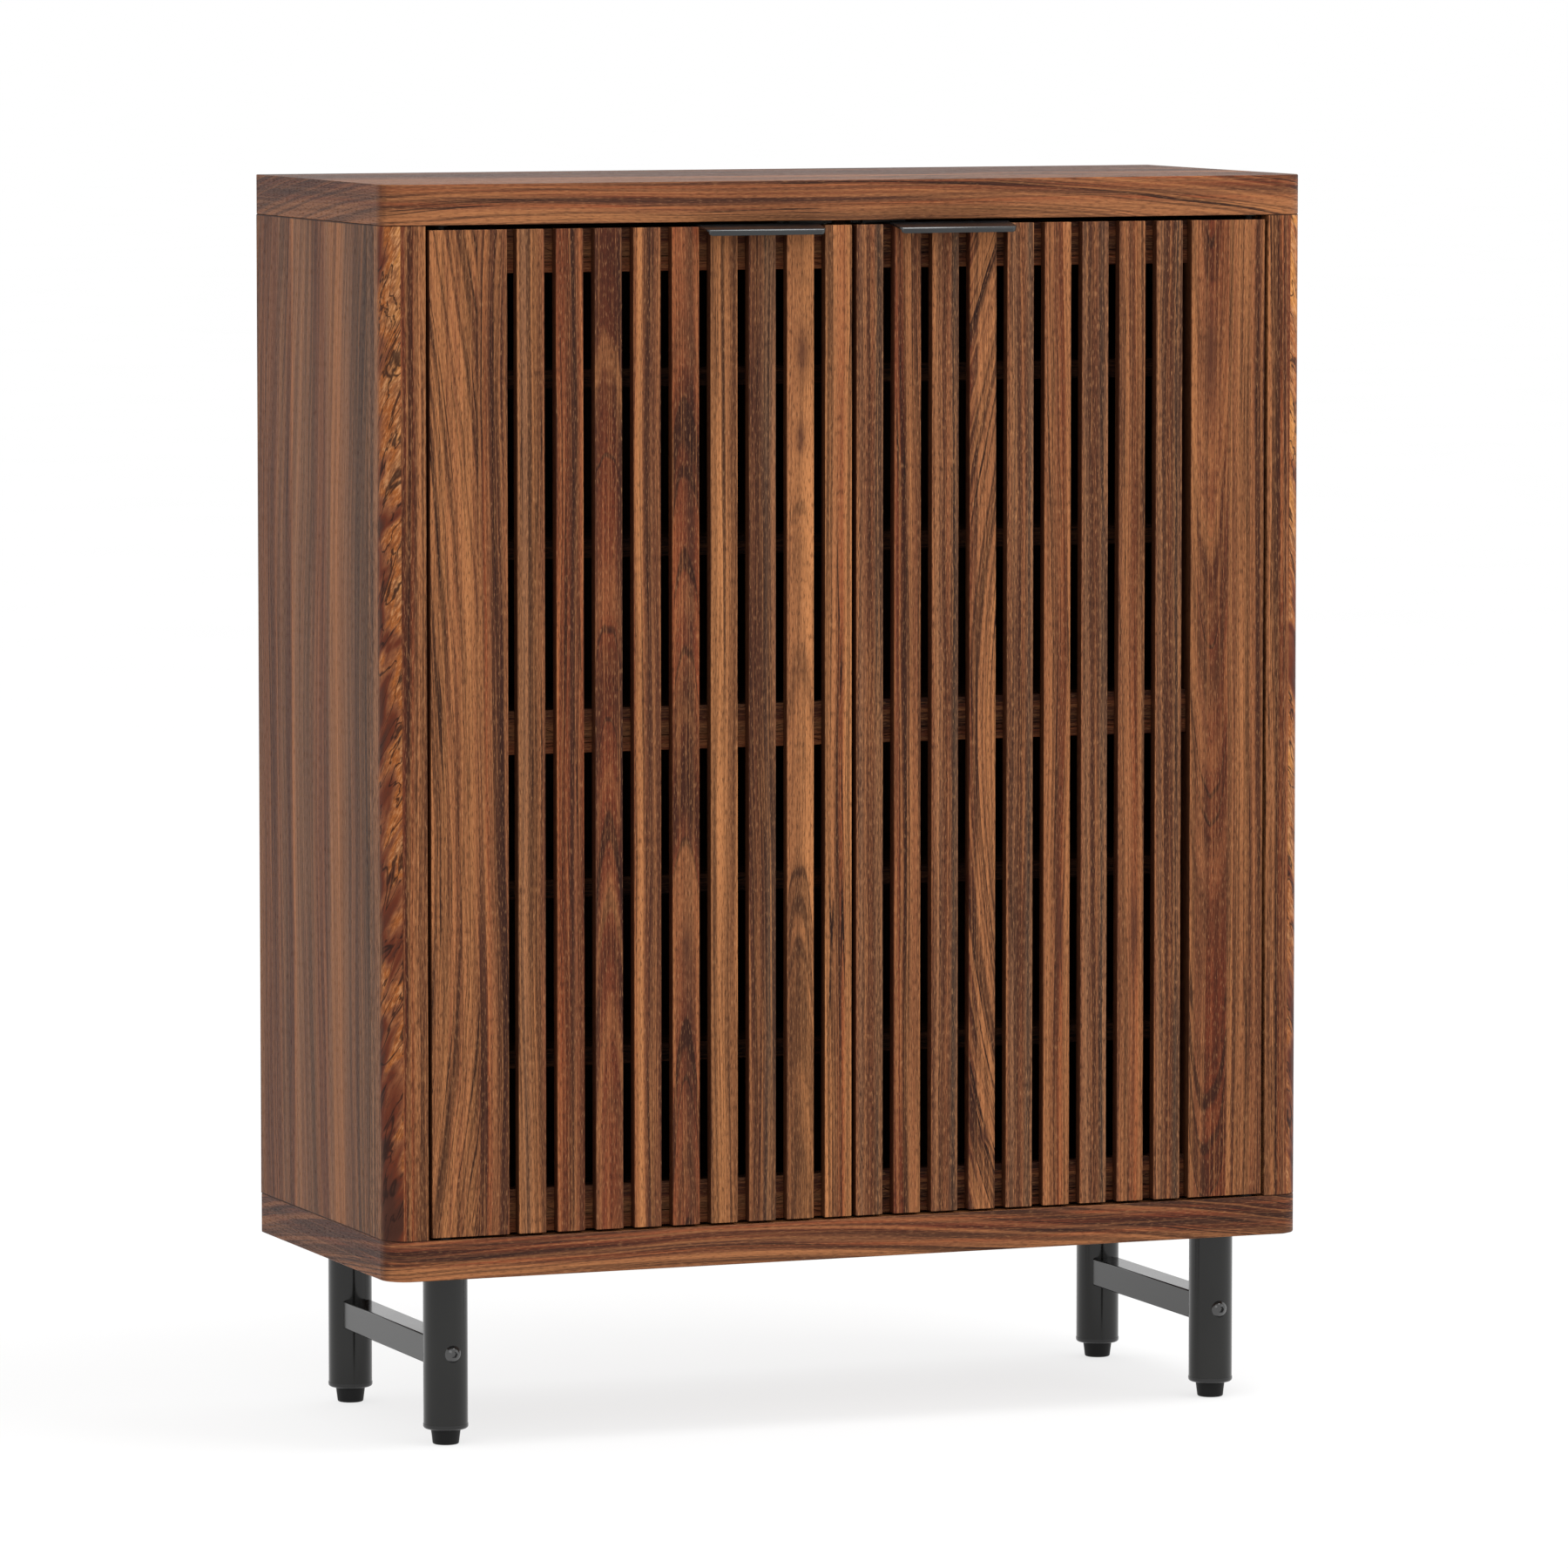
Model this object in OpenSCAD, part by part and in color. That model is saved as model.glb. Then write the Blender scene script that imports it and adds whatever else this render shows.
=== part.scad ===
// Two-door slatted shoe cabinet on metal legs, in millimetres, +Z up.
// The origin is the centre of the footprint, handles included, on the floor.
// The doors face -Y and +X is on the right of a person who faces them.
// Each "in" value below is a distance behind the front plane or in from a side.

/* [Body] */
// Width of the wooden body
body_w = 800; // [760:10:900]
// Depth of the wooden body, without the handles
body_d = 322; // [300:2:380]
// Height of the wooden body, without the legs
body_h = 876; // [860:2:960]
// Thickness of the top and bottom boards
board_t = 32.5; // [28:0.5:38]
// Radius of the rounded front corners of the boards and posts
corner_r = 21; // [8:1:28]
// Thickness of the side panels, the partition and the shelves
panel_t = 15; // [15:0.5:18]
// Width of the front posts
post_w = 33.8; // [30:0.1:40]
// Depth of the front posts
post_d = 46; // [42:1:50]
// Thickness of the back panel
back_t = 5; // [4:0.5:6]
// Distance of the back panel in from the back edges
back_in = 2.5; // [2.2:0.1:5]

/* [Shelves] */
// Number of shelf levels
shelf_n = 5; // [3:1:5]
// Clear height of the lowest tier
bottom_tier_h = 129.5; // [110:0.5:130]
// Height from one shelf to the next
shelf_pitch = 137; // [110:1:137]
// Distance of the shelf fronts behind the front plane
shelf_in = 48; // [48:1:60]

/* [Doors] */
// Gap between a door and its post
side_gap = 3; // [2.5:0.1:4]
// Gap between the two doors
centre_gap = 3.9; // [3:0.1:5]
// Gap above the doors
top_gap = 3.8; // [3:0.1:5]
// Gap below the doors
bottom_gap = 2; // [1.5:0.1:3]
// Width of the wide upright at the hinge side
stile_w = 65.7; // [60:0.1:75]
// Number of slats on each door
slat_n = 9; // [6:1:9]
// Width of one slat
slat_w = 23.4; // [20:0.1:24]
// Thickness of the slats
slat_t = 9; // [8:0.5:10]
// Thickness of the rails behind the slats
rail_t = 15; // [14:0.5:16]
// Height of each rail
rail_h = 35.2; // [32:0.2:45]
// Gap between the wide upright and the first slat
first_gap = 8; // [6:0.1:9]
// Distance of the pivot axis in from the door's outer edge
pivot_in = 12; // [11:0.5:14]
// Distance of the pivot axis behind the front plane
pivot_back = 7.5; // [7:0.1:7.8]

/* [Handles] */
// Width of a handle
handle_w = 103; // [90:1:110]
// Distance of a handle's centre from the middle of the cabinet
handle_x = 83.1; // [75:0.1:90]
// How far a handle stands out in front of the doors
handle_out = 20.6; // [16:0.1:26]
// Thickness of the handle's metal sheet
handle_t = 1.6; // [1.2:0.1:2]
// Downward slope of the handle's plate in degrees
handle_slope = 10.5; // [5:0.5:12]
// Height of the handle's lip below the top of the door
lip_drop = 6.7; // [6:0.1:9]

/* [Legs] */
// Height of the body's underside above the floor
leg_h = 139; // [120:1:180]
// Diameter of a leg tube
leg_d = 36; // [34:1:38]
// Distance of a leg's axis in from the side of the body
leg_in_x = 62.7; // [55:0.1:75]
// Distance of a leg's axis in from the front and the back
leg_in_y = 43.1; // [38:0.1:55]
// Width and height of the square stretcher
stretcher_w = 23; // [20:1:25]
// Height of the stretcher's centre below the body
stretcher_drop = 63.9; // [40:0.1:70]
// Height of the foot that shows below the leg
foot_h = 12.7; // [10:0.1:16]

/* [Hidden] */
$fn = 64;
cut = 1;                 // how far cutting tools run past a face
left = -1;
right = 1;

front_y = handle_out - (body_d + handle_out) / 2;
back_y = front_y + body_d;
panel_y = back_y - back_in;              // outer face of the back panel
bottom_z = leg_h + board_t;              // upper face of the bottom board
top_z = leg_h + body_h - board_t;        // lower face of the top board
inner_h = top_z - bottom_z;
half_w = body_w / 2;

// Shelves
shelf_gap = 0.5;                         // play at each end of a shelf
shelf_back_gap = 2;
bay_w = half_w - 1.5 * panel_t;          // clear width of one compartment
shelf_d = body_d - back_in - back_t - shelf_back_gap - shelf_in;
pin_d = 5;
pin_out = 9;
pin_depth = 7;
pin_front_in = 27;                       // from the front edge of a shelf
pin_back_in = 30;                        // from its back edge
pin_rows = [shelf_in + pin_front_in, shelf_in + shelf_d - pin_back_in];

// Doors, first laid out for the left one
door_z = bottom_z + bottom_gap;
door_h = inner_h - bottom_gap - top_gap;
door_top = door_z + door_h;
door_x = -half_w + post_w + side_gap;    // outer edge of the left door
door_w = -centre_gap / 2 - door_x;
door_t = slat_t + rail_t;
slat_gap = (door_w - stile_w - first_gap - slat_n * slat_w) / (slat_n - 1);
rail_z = [door_z, door_z + (door_h - rail_h) / 2, door_top - rail_h];
tenon_l = 12;
tenon_t = 7;
tenon_h = 25;
tenon_in = slat_t + (rail_t - tenon_t) / 2;

// Pivot hinges
pivot_x = door_x + pivot_in;
pivot_y = front_y + pivot_back;
pivot_d = 6;
pivot_reach = 11;                        // length of pin inside the board
pivot_play = 0.05;
pivot_end_play = 0.5;
bush_d = 9;
bush_l = 12.5;
bush_flange_d = 13;
bush_flange_top = 0.8;
bush_door_play = 0.3;
bush_flange_low = bottom_gap - bush_door_play;
hinge_l = 52;
hinge_w = 20;
hinge_t = 2.5;
hinge_in = 2;
hinge_round = 3;
hinge_screws = [28, 46];

// Screws
screw_d = 3.5;
screw_head_d = 7;
screw_head_h = 2;
screw_l = 20;
slat_screw_up = 10;                      // above a rail's lower edge
pan_d = 3;
pan_head_d = 6;
pan_head_h = 2;
pan_head_taper = 1.2;
pan_l = 14;
leg_screw_d = 4;
leg_screw_head_d = 8;
leg_screw_l = 22;

// Handle
handle_seat = 20;                        // part that lies on the door
handle_bend = 1.2;                       // inside radius of the bend
handle_round = 5;                        // radius of the front corners
handle_screw_x = 24;
handle_screw_in = slat_t + rail_t / 2;
bend_u = handle_out - handle_bend - handle_t;
slope_l = (bend_u + handle_bend * sin(handle_slope)) / cos(handle_slope);
bend_v = -slope_l * sin(handle_slope) - handle_bend * cos(handle_slope);

// Magnetic catches
catch_x = 32;                            // from the middle of the cabinet
catch_w = 30;
catch_d = 16;
catch_h = 15;
catch_ear = 9;
catch_ear_t = 3;
catch_ear_in = 3;
catch_floor = 3;                         // plastic below the magnet
catch_gap = 0.4;
strike_w = 32;
strike_h = 11;
strike_t = 1;
strike_drop = 1;                         // below the top of the door
strike_pin_d = 3;
strike_pin_l = 9;
magnet_w = 24;
magnet_d = 5;
magnet_h = 9;
catch_in = door_t + strike_t + catch_gap;

// Joinery
rebate = 8;                              // overlap of the back panel
back_side_rows = [0.08, 0.29, 0.5, 0.71, 0.92];    // screw rows as shares of the inner height
back_mid_rows = [0.25, 0.5, 0.75];
back_edge_rows = [-0.35, -0.14, 0.14, 0.35];       // screw rows as shares of the body's width
dowel_d = 8;
dowel_half = 15;
dowel_rows = [127, 223];
cam_rows = [95, 255];
cam_d = 15;
cam_t = 12.5;
cam_edge = 34;
cam_slot = 2.5;
cam_slot_l = 10;
cam_bolt_stop = 5;                       // from the cam's axis to the end of its bolt
cam_bolt_d = 6;
cam_bolt_in = 11;
post_dowel_in = 24;
post_dowel_x = 18;
post_dowel_end = 80;
post_side_dowels = [post_dowel_end, inner_h / 2, inner_h - post_dowel_end];
part_in = door_t + 2;                    // front edge of the partition

// Legs
leg_wall = 1.5;
leg_y = [front_y + leg_in_y, back_y - leg_in_y];
leg_x = half_w - leg_in_x;
plate_d = 58;
plate_t = 2;
plate_pcd = 46;
cap_rim_h = 4;
cap_rim_out = 0.3;
cap_rim_d = leg_d + 2 * cap_rim_out;
cap_round = 2.4;
cap_plug_l = 12;
foot_top_d = 24.4;
foot_low_d = 21.5;
foot_round = 1.5;
stem_d = 8;
stem_l = 11;
stretcher_z = leg_h - stretcher_drop;
stretcher_wall = 1.5;
stretcher_plug = 12;
stretcher_round = 1;
saddle = 1.2;
bolt_d = 8;
bolt_hole_d = 8.4;
bolt_thread = 9;
bolt_head_d = 13.5;
bolt_head_h = 4;
bolt_head_r = 7.6;
bolt_crown = 0.4;                        // how far the dome would rise above the flat of the head
bolt_socket = 5;
bolt_socket_in = 2.4;
spot_d = 14.2;
spot_depth = 0.6;

shelf_nodes = [for (i = [1:shelf_n]) str("shelf_", i)];
slat_nodes = [for (i = [1:slat_n]) str("slat_", i)];
door_nodes = concat(["stile"], slat_nodes, ["rails", "handle", "hinge_pivots", "strike_plate", "screws"]);

// ---- general helpers ----

function slat_x(i) = door_x + (i == 0 ? 0 : stile_w + first_gap + (i - 1) * (slat_w + slat_gap));
function shelf_top(i) = bottom_z + bottom_tier_h + panel_t + (i - 1) * shelf_pitch;

// Draws its children for the right-hand side as the mirror image of the left
module on_side(side) {
    if (side == left) children();
    else mirror([1, 0, 0]) children();
}

module round_rect(w, d, r) {
    translate([r, 0]) square([w - 2 * r, d]);
    translate([0, r]) square([w, d - 2 * r]);
    for (x = [r, w - r], y = [r, d - r]) translate([x, y]) circle(r);
}

// Cylinder along Y that starts at y = 0
module rod_y(d, l) {
    rotate([-90, 0, 0]) cylinder(d = d, h = l);
}

// Cylinder along X that starts at x = 0
module rod_x(d, l) {
    rotate([0, 90, 0]) cylinder(d = d, h = l);
}

// ---- fasteners ----

// Countersunk screw along +Z, with the flat of its head at z = 0
module flat_screw(d, head_d, l) {
    cylinder(d1 = head_d, d2 = d, h = screw_head_h);
    cylinder(d = d, h = l);
}

// Pan-head screw along +Z, with the underside of its head at z = 0
module pan_screw() {
    translate([0, 0, -pan_head_h])
        cylinder(d1 = pan_head_d - pan_head_taper, d2 = pan_head_d, h = pan_head_h);
    cylinder(d = pan_d, h = pan_l);
}

module dowel() {
    cylinder(d = dowel_d, h = 2 * dowel_half, center = true);
}

// ---- places of the hidden joinery ----

// Upright panels that the boards are joined to: centre line and the side of the cam
uprights = [[-half_w + panel_t / 2, right], [0, left], [half_w - panel_t / 2, left]];

module place_dowels() {
    for (z = [bottom_z, top_z]) {
        for (u = uprights, d = dowel_rows) translate([u[0], front_y + d, z]) dowel();
        for (s = [left, right]) {
            translate([s * (half_w - post_dowel_x), front_y + post_dowel_in, z]) dowel();
        }
    }
    for (s = [left, right], h = post_side_dowels) {
        translate([s * (half_w - panel_t / 2), front_y + post_d, bottom_z + h])
            rotate([90, 0, 0]) dowel();
    }
}

module cam_discs(slot) {
    for (u = uprights, d = cam_rows, z = [bottom_z + cam_edge, top_z - cam_edge]) {
        translate([u[0] + u[1] * panel_t / 2, front_y + d, z]) mirror([u[1] == right ? 1 : 0, 0, 0])
            difference() {
                rod_x(cam_d, cam_t);
                if (slot) translate([-cut, -cam_slot / 2, -cam_slot_l / 2])
                    cube([cam_slot, cam_slot, cam_slot_l]);
            }
    }
}

module cam_bolts() {
    bolt_l = cam_bolt_in + cam_edge - cam_bolt_stop;
    for (u = uprights, d = cam_rows) {
        disc_x = u[0] + u[1] * (panel_t - cam_t) / 2;
        translate([disc_x, front_y + d, bottom_z - cam_bolt_in]) cylinder(d = cam_bolt_d, h = bolt_l);
        translate([disc_x, front_y + d, top_z + cam_bolt_in - bolt_l]) cylinder(d = cam_bolt_d, h = bolt_l);
    }
}

// Every screw that holds the back panel, pointing along -Y
module back_screws() {
    edge_x = half_w - panel_t + rebate / 2;
    for (s = [left, right], row = back_side_rows) {
        translate([s * edge_x, panel_y, bottom_z + inner_h * row]) back_screw();
    }
    for (row = back_edge_rows, z = [bottom_z - rebate / 2, top_z + rebate / 2]) {
        translate([row * body_w, panel_y, z]) back_screw();
    }
    for (row = back_mid_rows) translate([0, panel_y, bottom_z + inner_h * row]) back_screw();
}

module back_screw() {
    rotate([90, 0, 0]) pan_screw();
}

module catch_screws() {
    ear_x = (catch_w + catch_ear) / 2;
    for (s = [left, right], e = [-1, 1]) {
        translate([s * catch_x + e * ear_x, front_y + catch_in + catch_d / 2, top_z - catch_ear_t])
            pan_screw();
    }
}

// Shelf pins on the four upright faces, level by level
module place_pins() {
    outer = half_w - panel_t;
    faces = [[-outer, right], [-panel_t / 2, left], [panel_t / 2, right], [outer, left]];
    for (i = [1:shelf_n], f = faces, d = pin_rows) {
        translate([f[0] - f[1] * pin_depth, front_y + d, shelf_top(i) - panel_t - pin_d / 2])
            mirror([f[1] == left ? 1 : 0, 0, 0]) rod_x(pin_d, pin_depth + pin_out);
    }
}

module place_bushes(bore) {
    for (s = [left, right]) on_side(s) translate([pivot_x, pivot_y, 0]) {
        translate([0, 0, top_z]) bush(bush_flange_top, bore);
        translate([0, 0, bottom_z]) mirror([0, 0, 1]) bush(bush_flange_low, bore);
    }
}

// Flanged bush that goes up into a board whose face is at z = 0
module bush(flange, bore) {
    bore_l = flange + cut + pivot_reach + pivot_end_play;
    difference() {
        union() {
            cylinder(d = bush_d, h = bush_l);
            translate([0, 0, -flange]) cylinder(d = bush_flange_d, h = flange);
        }
        if (bore) translate([0, 0, -flange - cut]) cylinder(d = pivot_d + 2 * pivot_play, h = bore_l);
    }
}

// ---- body ----

module board_outline() {
    translate([-half_w, front_y + corner_r]) square([body_w, body_d - corner_r]);
    translate([-half_w + corner_r, front_y]) square([body_w - 2 * corner_r, 2 * corner_r]);
    for (s = [left, right]) translate([s * (half_w - corner_r), front_y + corner_r]) circle(corner_r);
}

// Space that the back panel takes in the boards and side panels
module back_space(extra) {
    translate([-half_w + panel_t - rebate, panel_y - back_t, bottom_z - rebate])
        cube([body_w - 2 * (panel_t - rebate), back_t + extra, inner_h + 2 * rebate]);
}

module top_panel() {
    color("saddlebrown") difference() {
        translate([0, 0, top_z]) linear_extrude(board_t) board_outline();
        back_space(back_in + cut);
        place_dowels();
        cam_bolts();
        back_screws();
        catch_screws();
        place_bushes(false);
    }
}

module bottom_panel() {
    color("saddlebrown") difference() {
        translate([0, 0, leg_h]) linear_extrude(board_t) board_outline();
        back_space(back_in + cut);
        place_dowels();
        cam_bolts();
        back_screws();
        place_leg_screws();
        place_bushes(false);
    }
}

module side_panel(side) {
    color("sienna") difference() {
        translate([side == left ? -half_w : half_w - panel_t, front_y + post_d, bottom_z])
            cube([panel_t, body_d - post_d, inner_h]);
        back_space(back_in + cut);
        place_dowels();
        cam_bolts();
        cam_discs(false);
        back_screws();
        place_pins();
    }
}

module front_post(side) {
    color("peru") difference() {
        on_side(side) translate([-half_w, front_y, bottom_z]) linear_extrude(inner_h) difference() {
            square([post_w, post_d]);
            difference() {
                square(corner_r);
                translate([corner_r, corner_r]) circle(corner_r);
            }
        }
        place_dowels();
    }
}

module back_panel() {
    color("tan") difference() {
        back_space(0);
        back_screws();
    }
}

module centre_partition() {
    color("sienna") difference() {
        translate([-panel_t / 2, front_y + part_in, bottom_z])
            cube([panel_t, body_d - back_in - back_t - part_in, inner_h]);
        place_dowels();
        cam_bolts();
        cam_discs(false);
        back_screws();
        place_pins();
    }
}

// One shelf level: a board on each side of the partition
module shelf(i) {
    color("burlywood") for (s = [left, right]) on_side(s) {
        translate([-half_w + panel_t + shelf_gap, front_y + shelf_in, shelf_top(i) - panel_t])
            cube([bay_w - 2 * shelf_gap, shelf_d, panel_t]);
    }
}

module shelf_pins() {
    color("silver") place_pins();
}

module dowels() {
    color("wheat") place_dowels();
}

module cam_locks() {
    color("silver") {
        cam_discs(true);
        difference() {
            cam_bolts();
            cam_discs(false);
        }
    }
}

module pivot_bushes() {
    color("dimgray") place_bushes(true);
}

module panel_screws() {
    color("silver") {
        back_screws();
        catch_screws();
    }
}

module catch_magnet(side) {
    translate([side * catch_x - magnet_w / 2, front_y + catch_in, top_z - catch_h + catch_floor])
        cube([magnet_w, magnet_d, magnet_h]);
}

module door_catches() {
    color("dimgray") difference() {
        for (s = [left, right]) translate([s * catch_x - catch_w / 2, front_y + catch_in, top_z - catch_h]) {
            cube([catch_w, catch_d, catch_h]);
            translate([-catch_ear, catch_ear_in, catch_h - catch_ear_t])
                cube([catch_w + 2 * catch_ear, catch_d - 2 * catch_ear_in, catch_ear_t]);
        }
        for (s = [left, right]) catch_magnet(s);
        catch_screws();
    }
}

module catch_magnets() {
    color("gray") for (s = [left, right]) catch_magnet(s);
}

// ---- legs ----

// Places its children at a leg's axis, turned so that the bolt enters from local -Y
module at_leg(side, row) {
    translate([side * leg_x, leg_y[row], 0]) rotate([0, 0, row == 0 ? 0 : 180]) children();
}

module at_every_leg() {
    for (s = [left, right], row = [0, 1]) at_leg(s, row) children();
}

module leg(side, row) {
    tube_z = foot_h + cap_rim_h;
    color("darkslategray") difference() {
        at_leg(side, row) difference() {
            union() {
                translate([0, 0, tube_z]) cylinder(d = leg_d, h = leg_h - tube_z);
                translate([0, 0, leg_h - plate_t]) cylinder(d = plate_d, h = plate_t);
            }
            translate([0, 0, tube_z - cut])
                cylinder(d = leg_d - 2 * leg_wall, h = leg_h - tube_z - plate_t + cut);
            translate([0, -leg_d, stretcher_z]) rod_y(bolt_hole_d, 2 * leg_d);
            translate([0, -leg_d / 2 - cut, stretcher_z]) rod_y(spot_d, cut + spot_depth);
        }
        place_leg_screws();
    }
}

module place_leg_screws() {
    at_every_leg() for (a = [45:90:315]) rotate([0, 0, a]) {
        translate([plate_pcd / 2, 0, leg_h - plate_t])
            flat_screw(leg_screw_d, leg_screw_head_d, leg_screw_l);
    }
}

module leg_screws() {
    color("silver") place_leg_screws();
}

module leg_end_caps() {
    rim_r = cap_rim_d / 2;
    color("dimgray") at_every_leg() translate([0, 0, foot_h]) difference() {
        union() {
            rotate_extrude() intersection() {
                square([rim_r, cap_rim_h]);
                union() {
                    square([rim_r - cap_round, cap_rim_h]);
                    translate([0, cap_round]) square([rim_r, cap_rim_h]);
                    translate([rim_r - cap_round, cap_round]) circle(cap_round);
                }
            }
            translate([0, 0, cap_rim_h]) cylinder(d = leg_d - 2 * leg_wall, h = cap_plug_l);
        }
        translate([0, 0, -cut]) cylinder(d = stem_d, h = stem_l + cut);
    }
}

module foot_glides() {
    low_r = foot_low_d / 2;
    color("black") at_every_leg() {
        rotate_extrude() {
            polygon([[0, foot_round], [low_r, foot_round], [foot_top_d / 2, foot_h], [0, foot_h]]);
            square([low_r - foot_round, 2 * foot_round]);
            translate([low_r - foot_round, foot_round]) circle(foot_round);
        }
        translate([0, 0, foot_h]) cylinder(d = stem_d, h = stem_l);
    }
}

module stretcher(side) {
    start = leg_y[0] + leg_d / 2 - saddle;
    len = leg_y[1] - leg_y[0] - leg_d + 2 * saddle;
    inner_w = stretcher_w - 2 * stretcher_wall;
    color("darkslategray") difference() {
        translate([side * leg_x - stretcher_w / 2, start + len, stretcher_z - stretcher_w / 2])
            rotate([90, 0, 0]) linear_extrude(len) round_rect(stretcher_w, stretcher_w, stretcher_round);
        translate([side * leg_x - inner_w / 2, start + stretcher_plug, stretcher_z - inner_w / 2])
            cube([inner_w, len - 2 * stretcher_plug, inner_w]);
        at_every_leg() cylinder(d = leg_d, h = leg_h);
        stretcher_bolt_shanks();
    }
}

module stretcher_bolt_shanks() {
    at_every_leg() translate([0, spot_depth - leg_d / 2, stretcher_z])
        rod_y(bolt_d, leg_d - spot_depth - saddle + bolt_thread);
}

module stretcher_bolts() {
    color("dimgray") {
        stretcher_bolt_shanks();
        at_every_leg() translate([0, spot_depth - leg_d / 2, stretcher_z]) rotate([90, 0, 0]) difference() {
            intersection() {
                cylinder(d = bolt_head_d, h = bolt_head_h);
                translate([0, 0, bolt_head_h - bolt_head_r + bolt_crown]) sphere(bolt_head_r);
            }
            translate([0, 0, bolt_head_h - bolt_socket_in])
                cylinder(d = bolt_socket / cos(30), h = bolt_socket_in + cut, $fn = 6);
        }
    }
}

// ---- doors, all drawn as the left door ----

module door_board(x, w, t) {
    translate([x, front_y, door_z]) cube([w, t, door_h]);
}

// Screws that hold slat i to the rails, entered from the back
module slat_screws(i) {
    for (z = rail_z) translate([slat_x(i) + slat_w / 2, front_y + door_t, z + slat_screw_up]) {
        rotate([90, 0, 0]) flat_screw(screw_d, screw_head_d, screw_l);
    }
}

module hinge_plate_screws() {
    for (x = hinge_screws) {
        translate([door_x + x, front_y + door_t / 2, door_z]) flat_screw(screw_d, screw_head_d, screw_l);
        translate([door_x + x, front_y + door_t / 2, door_top]) mirror([0, 0, 1])
            flat_screw(screw_d, screw_head_d, screw_l);
    }
}

module handle_screws() {
    y = front_y + handle_screw_in;
    for (e = [-1, 1]) translate([e * handle_screw_x - handle_x, y, door_top + handle_t]) {
        mirror([0, 0, 1]) flat_screw(screw_d, screw_head_d, screw_l);
    }
}

// Plate let into each end of the stile, without its pin
module hinge_plate() {
    translate([door_x + hinge_in, front_y + (door_t - hinge_w) / 2, door_top - hinge_t])
        linear_extrude(hinge_t) round_rect(hinge_l, hinge_w, hinge_round);
    translate([door_x + hinge_in, front_y + (door_t - hinge_w) / 2, door_z])
        linear_extrude(hinge_t) round_rect(hinge_l, hinge_w, hinge_round);
}

module stile() {
    color("chocolate") difference() {
        door_board(door_x, stile_w, door_t);
        hinge_plate();
        hinge_plate_screws();
        for (z = rail_z) tenon(z);
    }
}

module tenon(z) {
    translate([door_x + stile_w - tenon_l, front_y + tenon_in, z + (rail_h - tenon_h) / 2])
        cube([tenon_l + cut, tenon_t, tenon_h]);
}

module slat(i) {
    color("chocolate") difference() {
        door_board(slat_x(i), slat_w, slat_t);
        slat_screws(i);
    }
}

module rails() {
    color("sienna") difference() {
        for (z = rail_z) {
            translate([door_x + stile_w, front_y + slat_t, z]) cube([door_w - stile_w, rail_t, rail_h]);
            tenon(z);
        }
        for (i = [1:slat_n]) slat_screws(i);
        handle_screws();
        strike_pin();
    }
}

module hinge_pivots() {
    pin_l = pivot_reach + hinge_t;
    color("silver") difference() {
        union() {
            hinge_plate();
            translate([pivot_x, pivot_y, door_top - hinge_t]) cylinder(d = pivot_d, h = pin_l + top_gap);
            translate([pivot_x, pivot_y, bottom_z - pivot_reach])
                cylinder(d = pivot_d, h = pin_l + bottom_gap);
        }
        hinge_plate_screws();
    }
}

module strike_pin() {
    translate([-catch_x, front_y + door_t - strike_pin_l, door_top - strike_h / 2 - strike_drop])
        rod_y(strike_pin_d, strike_pin_l);
}

module strike_plate() {
    color("silver") {
        translate([-catch_x - strike_w / 2, front_y + door_t, door_top - strike_h - strike_drop])
            cube([strike_w, strike_t, strike_h]);
        strike_pin();
    }
}

// Everything under the sheet's upper face (grow = handle_t) or its lower face (grow = 0):
// u runs forward from the door's face and v runs up from the door's top
module under_sheet(grow, more) {
    low = lip_drop + more;
    translate([-handle_seat - more, -low]) square([handle_seat + more, low + grow]);
    if (grow > 0) circle(grow);
    rotate(-handle_slope) translate([0, -low]) square([slope_l, low + grow]);
    translate([bend_u, bend_v]) circle(handle_bend + grow);
    translate([0, -low]) square([bend_u + handle_bend + grow, low + bend_v]);
}

module handle_section() {
    difference() {
        under_sheet(handle_t, 0);
        under_sheet(0, cut);
    }
}

module handle() {
    depth = handle_out + handle_seat;
    height = lip_drop + handle_t;
    color("darkslategray") translate([-handle_x, front_y, door_top]) difference() {
        intersection() {
            translate([handle_w / 2, 0, 0]) rotate([90, 0, -90]) linear_extrude(handle_w) handle_section();
            translate([-handle_w / 2, -handle_out, -lip_drop - cut])
                linear_extrude(height + 2 * cut) handle_plan(depth);
            translate([-handle_w / 2, handle_seat + cut, -lip_drop]) rotate([90, 0, 0])
                linear_extrude(depth + 2 * cut) handle_front(height);
        }
        translate([handle_x, -front_y, -door_top]) handle_screws();
    }
}

// Outline of the handle from above, round at its front corners
module handle_plan(depth) {
    translate([0, handle_round]) square([handle_w, depth - handle_round]);
    translate([handle_round, 0]) square([handle_w - 2 * handle_round, depth]);
    for (x = [handle_round, handle_w - handle_round]) translate([x, handle_round]) circle(handle_round);
}

// Outline of the handle from the front, round at its lower corners
module handle_front(height) {
    translate([0, handle_round]) square([handle_w, height - handle_round + cut]);
    translate([handle_round, 0]) square([handle_w - 2 * handle_round, height]);
    for (x = [handle_round, handle_w - handle_round]) translate([x, handle_round]) circle(handle_round);
}

module door_screws() {
    color("silver") {
        for (i = [1:slat_n]) slat_screws(i);
        hinge_plate_screws();
        handle_screws();
    }
}

// ---- assembly ----

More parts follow.
